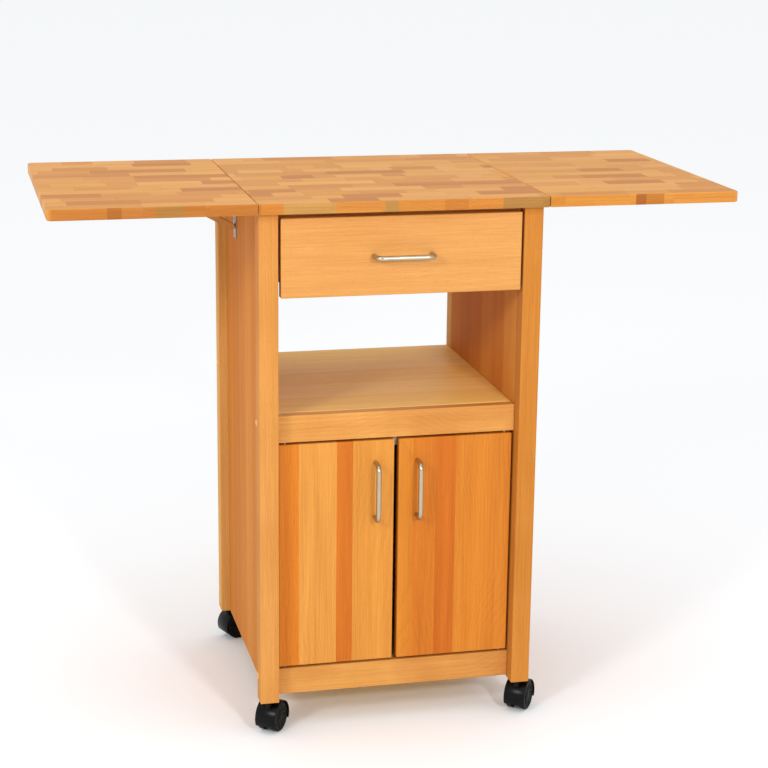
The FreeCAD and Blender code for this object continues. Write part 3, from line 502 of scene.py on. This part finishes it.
DOWN, BACKWARD, FORWARD = (0, 0, -1), (0, 1, 0), (0, -1, 0)
UNDER_PLATES = 894      # underside of the hinge plates and brackets
BRACE_Y = 102           # where the braces stand, front to back
BACK_FACE = 232         # outside of the back board
DOOR_BACK = -186        # inside face of the doors
HALF_PULL = 48          # from a pull's middle to its foot
STRIKE_X = 14.5         # from the middle to a door's strike
plates_low, plates_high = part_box("top_hinge_plates")
hinge_lines = [plates_low.y / MM + 30, plates_high.y / MM - 30]
spots = []
for side in (-1, 1):
    for line in hinge_lines:
        spots += [((side * 228.5, line + step, UNDER_PLATES), DOWN) for step in (-18, 18)]
    # The wall plates of the braces.
    spots += [((side * 222, BRACE_Y, z), (side, 0, 0)) for z in (804, 831)]
screws("fixed_hinge_screws", "cart_frame", spots)
spots = []
for side in (-1, 1):
    # The cleats under the shelf and the cupboard floor, then the slides.
    for z in (530, 85):
        spots += [((side * 186, y, z), (-side, 0, 0)) for y in (-150, -50, 60, 180)]
    spots += [((side * 197.5, y, 806.5), (-side, 0, 0)) for y in (-178, 146)]
spots += [((x, -177, 878), DOWN) for x in (-150, 0, 150)]
screws("frame_screws", "cart_frame", spots, LARGE_HEAD)
spots = [((x, BACK_FACE, z), BACKWARD) for x in (-192, -64, 64, 192) for z in (76, 528)]
spots += [((x, BACK_FACE, z), BACKWARD) for x in (-192, 192) for z in (190, 302, 414)]
spots += [((side * 17, -184.7, 532), FORWARD) for side in (-1, 1)]
screws("back_board_screws", "cart_frame", spots)
for side, hand in ((-1, "left"), (1, "right")):
    spots = [((side * x, line + step, UNDER_PLATES), DOWN)
             for line in hinge_lines for x, step in ((256, -20), (256, 20), (268, 0))]
    screws(f"{hand}_leaf_screws", f"{hand}_leaf_assembly", spots)
    # The brace folds up against its bracket, so these heads are nearly flush.
    screws(f"{hand}_bracket_screws", f"{hand}_leaf_assembly",
           [((side * x, BRACE_Y, UNDER_PLATES), DOWN) for x in (346.5, 372.5)], FLUSH_HEAD)
    spots = [((side * STRIKE_X, -185, 496.5), BACKWARD)]
    spots += [((side * 36, DOOR_BACK, 418 + step), BACKWARD)
              for step in (-HALF_PULL, HALF_PULL)]
    screws(f"{hand}_door_screws", f"{hand}_door_assembly", spots, LARGE_HEAD)
spots = [((x, -210, 821.25), BACKWARD) for x in (-HALF_PULL, HALF_PULL)]
screws("drawer_screws", "drawer", spots, LARGE_HEAD)


# ---------------------------------------------------------------- wood plugs and bumpers

LEG_FACE = 236
PLUG = [(0, -1), (6, -1), (6, 0.5), (5.6, 1.2), (4.6, 1.8), (3, 2.2), (0, 2.39)]
BUMPER = [(0, -0.2), (4, -0.2), (3.9, 0.5), (3.2, 1.1), (0, 1.5)]


def in_mm(profile):
    return [(radius * MM, height * MM) for radius, height in profile]


maker = bmesh.new()
for side in (-1, 1):
    for y in (-205, 217):
        for z in (547, 102):
            turned(maker, in_mm(PLUG),
                   facing((side * LEG_FACE * MM, y * MM, z * MM), (side, 0, 0)), 28)
plug_wood = hardwood("button plug hardwood, varnished", "X", ["#d9a261", "#e0ab69"], figure=0.4)
finished("button_plugs", maker, [plug_wood], "cart_frame", ["wood_plugs"])

for side, hand in ((-1, "left"), (1, "right")):
    maker = bmesh.new()
    for z in (122, 470):
        turned(maker, in_mm(BUMPER),
               facing((side * 14 * MM, DOOR_BACK * MM, z * MM), BACKWARD), 24)
    finished(f"{hand}_door_bumpers", maker, [bumper_clear], f"{hand}_door_assembly")


# ---------------------------------------------------------------- drawer runners and catch

def extruded(maker, outline, start, end, slot=0):
    """Run an outline of (x, z) points along Y from start to end, closed at both ends."""
    rings = [[maker.verts.new((x * MM, y * MM, z * MM)) for x, z in outline]
             for y in (start, end)]
    for i in range(len(outline)):
        j = (i + 1) % len(outline)
        maker.faces.new([rings[0][i], rings[0][j], rings[1][j], rings[1][i]]).material_index = slot
    for ring in (rings[0], list(reversed(rings[1]))):
        maker.faces.new(ring).material_index = slot


def block(maker, low, high, ease, slot=0):
    """A box between two corners, in mm, with its edges rounded."""
    made = bmesh.ops.create_cube(maker, size=1)["verts"]
    for vert in made:
        vert.co = Vector([(low[i] if vert.co[i] < 0 else high[i]) * MM for i in range(3)])
    edges = list({edge for vert in made for edge in vert.link_edges})
    rounded = bmesh.ops.bevel(maker, geom=edges, offset=ease * MM, segments=3, profile=0.5,
                              affect="EDGES")
    for face in rounded["faces"]:
        face.material_index = slot
    for vert in made:
        for face in vert.link_faces if vert.is_valid else []:
            face.material_index = slot


SHEET, LIP = 1.3, 4.5   # the folded steel's thickness and the depth of its lips
ROLLER = [(0, 0), (3, 0), (3, 0.6), (11, 0.6), (11.6, 1.2), (11.6, 5), (11, 5.6), (4.2, 5.6),
          (4, 6.8), (2.4, 7.4), (0, 7.4)]
low, high = [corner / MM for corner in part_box("drawer_runners")]
maker = bmesh.new()
for side in (-1, 1):
    # A folded channel: its web lies on the drawer's side, its lips turn down and up.
    inside, outside = 191.1, high.x - 0.1
    channel = [(inside, low.z), (outside, low.z), (outside, low.z + LIP),
               (outside - SHEET, low.z + LIP), (outside - SHEET, low.z + SHEET),
               (inside + SHEET, low.z + SHEET), (inside + SHEET, high.z - SHEET),
               (outside - SHEET, high.z - SHEET), (outside - SHEET, high.z - LIP),
               (outside, high.z - LIP), (outside, high.z), (inside, high.z)]
    extruded(maker, [(side * x, z) for x, z in channel], low.y + 1, high.y - 1)
    # Rollers on their rivets, one near each end.
    for y in (low.y + 14, high.y - 14):
        turned(maker, in_mm(ROLLER),
               facing((side * (inside + 1.2) * MM, y * MM, (low.z + high.z) / 2 * MM),
                      (side, 0, 0)), 36, 1)
finished("folded_runners", maker, [slide_paint, roller_white], "drawer", ["drawer_runners"])

low, high = [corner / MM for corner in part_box("door_catch")]
maker = bmesh.new()
block(maker, low, high, 1.2)
for side in (-1, 1):
    # The steel pole plates of the two magnets, in a pocket of the body's front.
    for z in (low.z + 5, low.z + 10):
        block(maker, (side * STRIKE_X - 6, low.y - 0.25, z - 0.8),
              (side * STRIKE_X + 6, low.y + 3, z + 0.8), 0.2, 1)
finished("magnet_catch", maker, [catch_white, zinc], "cart_frame", ["door_catch"])


# ---------------------------------------------------------------- casters

WHEEL = 25.49 * MM      # radius
HOOD_OUTER = 28.7 * MM
WEB_HALF = 7 * MM
WEB_RADIUS = 27.6 * MM
CUT_Z = 14 * MM         # height of the hood's lower edge
RIB_COUNT = 10          # on the outside of each wheel
RIB_RING = 15.8 * MM
RIB_FACE = 9.0 * MM     # out from the web
BOSS = [(4.3, 45), (6.9, 45), (6.9, 54.6), (7.0, 55), (7.0, 56.4), (6.5, 57), (4.3, 57),
        (4.3, 45)]


def spoke_tree():
    """Small raised ribs round a wheel's face, one to a point, pointing along its way."""
    tree, given = tree_with_inputs("wheel ribs", Length=0, Width=0, Rise=0)
    size = add(tree, "ShaderNodeCombineXYZ", {0: given["Width"], 1: given["Rise"],
                                              2: given["Length"]}).outputs[0]
    rib = add(tree, "GeometryNodeMeshCube", {"Size": size}).outputs["Mesh"]
    return lay_on_points(tree, given, rib, along_way(tree))


# One wheel's section, (radius, distance out from the web) in mm: flat inside, and a ring
# groove and a raised cap outside.
WHEEL_PROFILE = [(0, 0.5), (22.5, 0.5), (24.6, 0.8), (25.49, 1.8), (25.49, 8.6), (24.7, 9.8),
                 (23.3, 10.45), (22.2, 10.45), (21.6, 9.5), (20.4, 9.1), (11.4, 8.9), (10.9, 9.9),
                 (9.6, 9.9), (9.2, 9.2), (6.4, 9.2), (6.0, 10.0), (4.2, 10.4), (0, 10.5)]


def build_caster(corner, axle, along):
    """Make the hood and the wheels, and return the ribs' places and the ways they point.

    axle is the axle's middle and along its direction.
    """
    ahead = Vector((along.y, -along.x, 0))
    # The hood: a bent sheet with rounded shoulders, over the wheels down to its cut edge.
    section = [(-19, 26.7), (-19, 27.6), (-18.6, 28.3), (-17.6, 28.7), (17.6, 28.7),
               (18.6, 28.3), (19, 27.6), (19, 26.7)]
    maker = bmesh.new()
    drop = math.asin((WHEEL - CUT_Z) / HOOD_OUTER)
    steps = 40
    sweep = [-drop + (math.pi + 2 * drop) * i / steps for i in range(steps + 1)]
    rings = []
    for angle in sweep:
        out = ahead * math.cos(angle) + Vector((0, 0, math.sin(angle)))
        ring = []
        for shift, radius in section:
            point = axle + along * (shift * MM) + out * (radius * MM)
            point.z = max(point.z, CUT_Z)
            ring.append(maker.verts.new(point))
        rings.append(ring)
    for near, far in zip(rings, rings[1:]):
        for i in range(len(section)):
            j = (i + 1) % len(section)
            maker.faces.new([near[i], near[j], far[j], far[i]])
    maker.faces.new(rings[0])
    maker.faces.new(list(reversed(rings[-1])))
    # The web between the wheels, a plate with the hood's outline.
    sides = []
    for shift in (-WEB_HALF, WEB_HALF):
        side = []
        for angle in sweep:
            out = ahead * math.cos(angle) + Vector((0, 0, math.sin(angle)))
            point = axle + along * shift + out * WEB_RADIUS
            point.z = max(point.z, CUT_Z)
            side.append(maker.verts.new(point))
        sides.append(side)
    for i in range(len(sweep)):
        j = (i + 1) % len(sweep)
        maker.faces.new([sides[0][i], sides[0][j], sides[1][j], sides[1][i]])
    maker.faces.new(sides[0])
    maker.faces.new(list(reversed(sides[1])))
    # The boss that the stem stands in, with a small bead at its rim.
    stem_low, stem_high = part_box(f"{corner}_caster_stem")
    stem = (stem_low + stem_high) / 2
    boss = Matrix.Translation((stem.x, stem.y, 0))
    turned(maker, in_mm(BOSS), boss, 32)
    bmesh.ops.remove_doubles(maker, verts=maker.verts, dist=1e-6)
    finished(f"{corner}_moulded_hood", maker, [caster_black], f"{corner}_caster",
             [f"{corner}_caster_hood"])

    maker = bmesh.new()
    spots = []
    for hand in (-1, 1):
        place = facing(axle + along * (hand * WEB_HALF), along * hand)
        turned(maker, in_mm(WHEEL_PROFILE), place, 56)
        face = axle + along * (hand * (WEB_HALF + RIB_FACE))
        for i in range(RIB_COUNT):
            turn = 2 * math.pi * i / RIB_COUNT
            way = ahead * math.cos(turn) + Vector((0, 0, math.sin(turn)))
            spots.append((face + way * RIB_RING, way))
    finished(f"{corner}_twin_wheels", maker, [tyre_black], f"{corner}_wheels",
             [f"{corner}_caster_wheels"])
    return spots


RIBS = spoke_tree()
for corner in CORNERS:
    low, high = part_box(f"{corner}_caster_wheels")
    joint = next(j for j in frame["joints"] if j["name"] == f"{corner}_roll")
    along = Vector(joint["axis"]).normalized()
    axle = Vector(((low.x + high.x) / 2, (low.y + high.y) / 2, WHEEL))
    spots = build_caster(corner, axle, along)
    laid_by_nodes(f"{corner}_wheel_ribs", f"{corner}_wheels", RIBS,
                  {"Length": 7.4 * MM, "Width": 1.4 * MM, "Rise": 1.1 * MM}, tyre_black,
                  spots)


# ---------------------------------------------------------------- floor, light and camera

scene.view_settings.view_transform = "Standard"

bpy.ops.mesh.primitive_plane_add(size=120)
floor = bpy.context.object
floor.name = "studio_floor"
floor_material, _, floor_shader = new_material("pale studio floor")
floor_shader.inputs["Base Color"].default_value = linear("#f3f5f7")
floor_shader.inputs["Roughness"].default_value = 1.0
floor_shader.inputs["Specular IOR Level"].default_value = 0.0
floor.data.materials.append(floor_material)

world = bpy.data.worlds.new("studio")
scene.world = world
world.use_nodes = True
world.node_tree.nodes["Background"].inputs[0].default_value = linear("#ffffff")
world.node_tree.nodes["Background"].inputs[1].default_value = 0.8


def softbox(name, position, size, power, target=(0, 0, 0.5)):
    light = bpy.data.lights.new(name, "AREA")
    light.shape = "DISK"
    light.size = size
    light.energy = power
    lamp = bpy.data.objects.new(name, light)
    lamp.location = position
    aim = Vector(target) - Vector(position)
    lamp.rotation_euler = aim.to_track_quat("-Z", "Y").to_euler()
    scene.collection.objects.link(lamp)


overhead = bpy.data.lights.new("overhead", "SUN")
overhead.energy = 0.7
overhead.angle = math.radians(70)
overhead_lamp = bpy.data.objects.new("overhead", overhead)
scene.collection.objects.link(overhead_lamp)
softbox("key", (0.5, -3.2, 1.75), 0.35, 36)
softbox("side", (-2.6, -2.6, 2.3), 0.8, 45)

camera_data = bpy.data.cameras.new("camera")
camera_data.sensor_width = 36
camera_data.lens = 90.06
camera_data.clip_end = 200
camera = bpy.data.objects.new("camera", camera_data)
scene.collection.objects.link(camera)
YAW, PITCH, ROLL = 0.236, 0.257, 0.012      # in radians
STAND = Vector((-0.7406, -3.1869, 1.4074))
ahead = Vector((math.sin(YAW) * math.cos(PITCH), math.cos(YAW) * math.cos(PITCH),
                -math.sin(PITCH)))
level = Vector((math.cos(YAW), -math.sin(YAW), 0))
upward = level.cross(ahead)
right = level * math.cos(ROLL) + upward * math.sin(ROLL)
upward = upward * math.cos(ROLL) - level * math.sin(ROLL)
camera.matrix_world = Matrix((
    (right.x, upward.x, -ahead.x, STAND.x),
    (right.y, upward.y, -ahead.y, STAND.y),
    (right.z, upward.z, -ahead.z, STAND.z),
    (0, 0, 0, 1)))
scene.camera = camera
